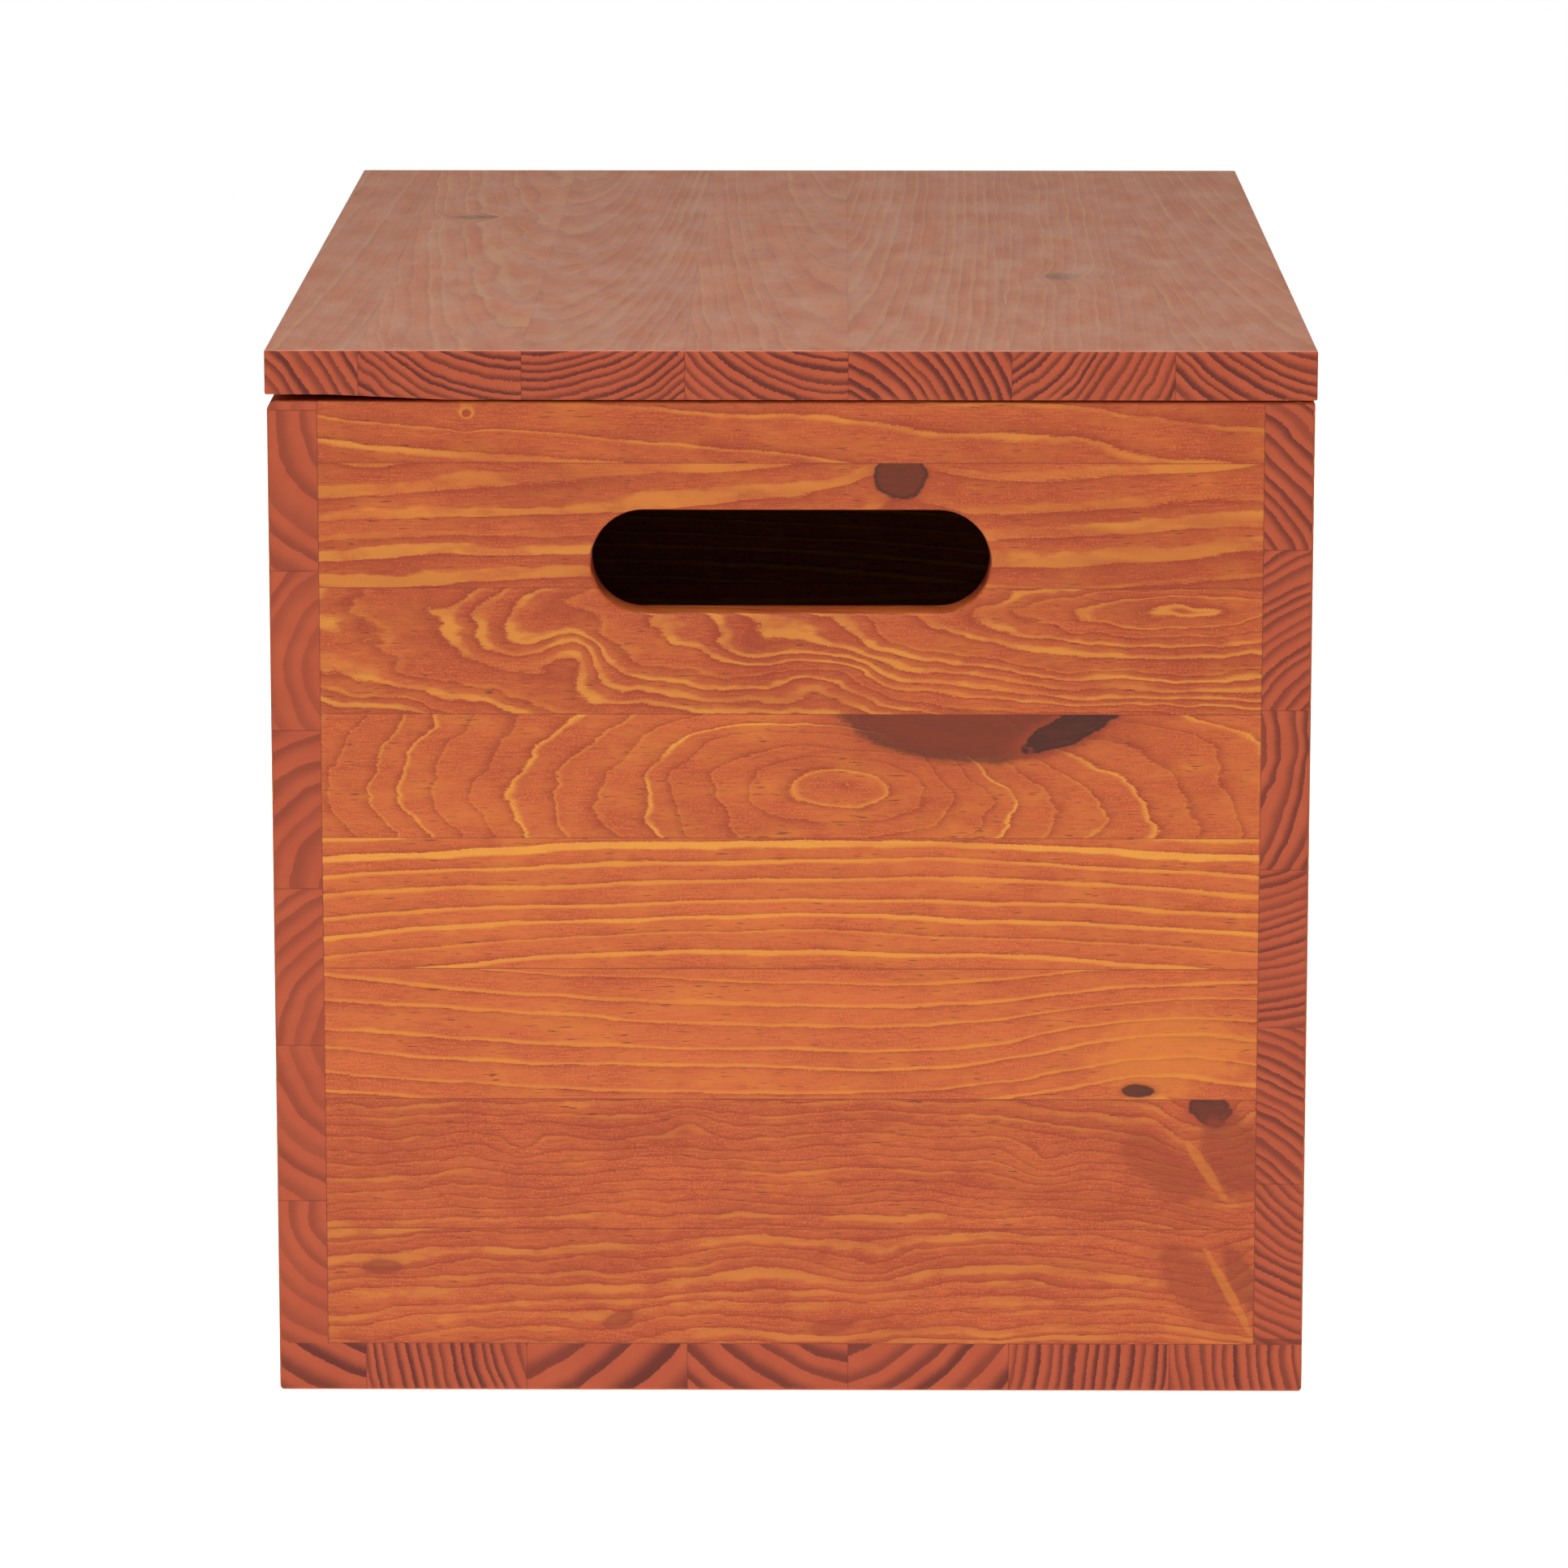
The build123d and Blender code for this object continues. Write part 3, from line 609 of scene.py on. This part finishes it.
LEFT_STAVES = [
    (30.0, 900.0, 0.03, 8.0, 2.5, 120.0, 0.24, 0.60, 0.50),
    (40.0, 700.0, 0.05, 9.0, 3.0, 110.0, 0.28, 0.60, 0.45),
    (-35.0, 500.0, 0.06, 7.0, 3.0, 100.0, 0.22, 0.70, 0.50),
    (-30.0, 400.0, 0.05, 9.0, 4.0, 120.0, 0.30, 0.60, 0.40),
    (-8.0, 260.0, 0.08, 8.0, 5.0, 90.0, 0.25, 0.70, 0.45),
    (30.0, 600.0, 0.05, 9.0, 4.0, 110.0, 0.24, 0.60, 0.55),
    (-40.0, 600.0, 0.05, 9.0, 4.0, 110.0, 0.24, 0.60, 0.55),
]
LEFT_KNOTS = [
    (3, 120.0, 236.0, 12.0, 8.0, 0.5, 0.08, -8.0),
    (1, -90.0, 104.0, 8.0, 5.0, 0.4, 0.08, -8.0),
    (4, -170.0, 300.0, 6.0, 4.0, 0.4, 0.08, -8.0),
]
RIGHT_STAVES = [
    (60.0, -900.0, 0.04, 4.2, 2.0, 160.0, 0.30, 0.8, 0.35),
    (-80.0, 800.0, 0.05, 4.5, 3.0, 140.0, 0.35, 0.8, 0.30),
    (90.0, 500.0, 0.04, 4.0, 2.0, 120.0, 0.25, 0.9, 0.40),
    (20.0, 900.0, 0.08, 6.0, 4.0, 160.0, 0.30, 0.8, 0.25),
    (-60.0, -700.0, 0.07, 4.5, 3.0, 120.0, 0.30, 0.9, 0.35),
    (-70.0, 700.0, 0.08, 5.5, 3.0, 130.0, 0.30, 0.9, 0.45),
]
RIGHT_KNOTS = [
    (2, -140.0, 180.0, 13.0, 9.0, 0.5, 0.08, 15.0),
    (4, 60.0, 308.0, 9.0, 6.0, 0.4, 0.08, 15.0),
    (0, 200.0, 52.0, 7.0, 5.0, 0.5, 0.08, 15.0),
]
LID_STAVES = [
    (-60.0, 700.0, 0.06, 5.0, 2.0, 90.0, 0.25, 0.30, 0.60),
    (30.0, 900.0, -0.05, 4.0, 3.0, 60.0, 0.25, 0.40, 0.50),
    (-25.0, 500.0, -0.07, 3.4, 2.0, 80.0, 0.40, 0.30, 0.65),
    (30.0, 700.0, -0.05, 4.2, 2.5, 70.0, 0.25, 0.35, 0.55),
    (-50.0, 500.0, 0.06, 4.4, 2.0, 90.0, 0.30, 0.35, 0.60),
    (-60.0, 400.0, -0.05, 3.8, 2.5, 60.0, 0.30, 0.40, 0.65),
    (40.0, 600.0, -0.07, 4.6, 2.0, 90.0, 0.25, 0.35, 0.65),
]
LID_KNOTS = [
    (1, 120.0, -140.0, 6.0, 9.0, 0.4, 0.08, -10.0),
    (5, -80.0, 110.0, 9.0, 7.0, 0.4, 0.08, -10.0),
]
BASE_STAVES = [
    (60.0, 700.0, 0.10, 10.0, 2.0, 120.0, 0.25, 0.7, 0.45),
    (80.0, 600.0, 0.03, 4.2, 2.0, 120.0, 0.30, 0.7, 0.40),
    (-70.0, 500.0, 0.12, 14.0, 2.0, 120.0, 0.30, 0.7, 0.35),
    (50.0, 700.0, 0.09, 9.0, 2.0, 120.0, 0.25, 0.7, 0.45),
    (-60.0, 500.0, 0.10, 10.0, 2.0, 120.0, 0.30, 0.7, 0.35),
    (-90.0, 400.0, 0.03, 4.5, 2.0, 120.0, 0.30, 0.7, 0.40),
    (70.0, 600.0, 0.02, 4.5, 2.0, 120.0, 0.25, 0.7, 0.45),
]

half_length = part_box("front_end_panel")[0][1] * MM
half_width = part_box("left_side_panel")[0][0] * MM
lid_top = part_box("lid_panel")[1][2] * MM

BOARDS = {
    "front_end_panel": dict(
        grain=GRAIN_X, outer_face=(1, half_length), seams=FRONT_SEAMS, staves=FRONT_STAVES,
        knots=FRONT_KNOTS, swells=FRONT_SWELLS,
    ),
    "back_end_panel": dict(
        grain=GRAIN_X, outer_face=(1, -half_length), seams=FRONT_SEAMS, staves=BACK_STAVES,
        knots=BACK_KNOTS,
    ),
    "left_side_panel": dict(
        grain=GRAIN_Y, outer_face=(0, half_width), seams=LEFT_SEAMS, staves=LEFT_STAVES,
        knots=LEFT_KNOTS, ends_depth=0.60,
    ),
    "right_side_panel": dict(
        grain=GRAIN_Y, outer_face=(0, -half_width), seams=RIGHT_SEAMS, staves=RIGHT_STAVES,
        knots=RIGHT_KNOTS,
    ),
    "lid_panel": dict(
        grain=GRAIN_Y, outer_face=(2, lid_top), seams=LID_SEAMS, staves=LID_STAVES,
        knots=LID_KNOTS, veil=0.48, ends_depth=1.40,
    ),
    "base_panel": dict(
        grain=GRAIN_Y, outer_face=(2, 0.0), seams=BASE_SEAMS, staves=BASE_STAVES,
        ends_depth=1.25,
    ),
}

lid_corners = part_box("lid_panel")
base_low, base_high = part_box("base_panel")
rim_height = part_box("left_side_panel")[1][2]
box_corners = (base_low, (base_high[0], base_high[1], rim_height))
materials = {}
for name, settings in BOARDS.items():
    whole = lid_corners if name == "lid_panel" else box_corners
    materials[name] = stained_pine(f"pine_{name}", name, whole=whole, **settings)
brass = metal("satin_brass", srgb(228, 192, 120), srgb(204, 164, 94), 0.28, 0.35)
zinc = metal("zinc_plated_steel", srgb(196, 198, 202), srgb(150, 152, 158), 0.30, 0.30)
beech = bare_beech("beech")

for name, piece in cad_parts.items():
    if name in materials:
        look = materials[name]
    elif "dowels" in name:
        look = beech
    elif name.startswith("hinge"):
        look = brass
    else:
        look = zinc
    piece.data.materials.clear()
    piece.data.materials.append(look)


# ------------------------------------------------------------ floor, light and camera


def pale_floor():
    """A wide, plain floor under the box. It glows a little, so that it is white to the horizon."""
    height = CAD_BOX[0][2] - FLOOR_GAP
    bpy.ops.mesh.primitive_plane_add(size=FLOOR_SIZE, location=(0, 0, height))
    floor = bpy.context.object
    floor.name = "floor"
    graph = Graph("floor_paint")
    graph.constant(Base_Color=(0.80, 0.80, 0.80, 1.0), Roughness=0.9, Specular_IOR_Level=0.1)
    graph.constant(Emission_Color=(1.0, 1.0, 1.0, 1.0), Emission_Strength=FLOOR_GLOW)
    floor.data.materials.append(graph.material)


def soft_light(name, place, size, power):
    """A rectangular soft box, turned to the box."""
    lamp = bpy.data.lights.new(name, "AREA")
    lamp.shape = "RECTANGLE"
    lamp.size, lamp.size_y = size
    lamp.energy = power
    holder = bpy.data.objects.new(name, lamp)
    bpy.context.collection.objects.link(holder)
    holder.location = place
    way = Vector(LIGHTS_AIM) - Vector(place)
    holder.rotation_euler = way.to_track_quat("-Z", "Y").to_euler()


def graded(tree, value, start, end, low, high):
    """A node that maps the value's range from start to end onto low to high."""
    made = tree.nodes.new("ShaderNodeMapRange")
    for key, number in (("From Min", start), ("From Max", end), ("To Min", low), ("To Max", high)):
        made.inputs[key].default_value = number
    tree.links.new(value, made.inputs["Value"])
    return made.outputs["Result"]


def studio():
    """A white backdrop for the camera. The box is lit by a room that is brighter above than at
    its horizon, and brighter still on the side behind the box, at +Y.
    """
    world = bpy.data.worlds.new("studio")
    bpy.context.scene.world = world
    world.use_nodes = True
    tree = world.node_tree
    room = tree.nodes["Background"]
    backdrop = tree.nodes.new("ShaderNodeBackground")
    backdrop.inputs["Color"].default_value = (1.0, 1.0, 1.0, 1.0)
    ray = tree.nodes.new("ShaderNodeLightPath")
    where = tree.nodes.new("ShaderNodeTexCoord")
    way = tree.nodes.new("ShaderNodeSeparateXYZ")
    total = tree.nodes.new("ShaderNodeMath")
    either = tree.nodes.new("ShaderNodeMixShader")
    tree.links.new(where.outputs["Generated"], way.inputs[0])
    overhead = graded(tree, way.outputs["Z"], -0.1, 1.0, ROOM_LOW, ROOM_HIGH)
    behind = graded(tree, way.outputs["Y"], 0.1, 0.9, 0.0, ROOM_BACK)
    tree.links.new(overhead, total.inputs[0])
    tree.links.new(behind, total.inputs[1])
    tree.links.new(total.outputs[0], room.inputs["Strength"])
    tree.links.new(ray.outputs["Is Camera Ray"], either.inputs["Fac"])
    tree.links.new(room.outputs[0], either.inputs[1])
    tree.links.new(backdrop.outputs[0], either.inputs[2])
    tree.links.new(either.outputs[0], tree.nodes["World Output"].inputs["Surface"])
    soft_light("top", TOP_LIGHT, TOP_SIZE, TOP_POWER)
    soft_light("front", FRONT_LIGHT, FRONT_SIZE, FRONT_POWER)


def camera():
    """It stands before the end with the hand slot, a little to its right, and looks down at it."""
    data = bpy.data.cameras.new("camera")
    data.sensor_width = SENSOR_WIDTH
    data.lens = CAMERA_LENS
    holder = bpy.data.objects.new("camera", data)
    bpy.context.collection.objects.link(holder)
    holder.location = CAMERA_PLACE
    holder.rotation_euler = (math.radians(90.0 - CAMERA_DOWN), 0.0, math.radians(CAMERA_TURN))
    bpy.context.scene.camera = holder


pale_floor()
studio()
camera()
bpy.context.scene.view_settings.view_transform = "Standard"
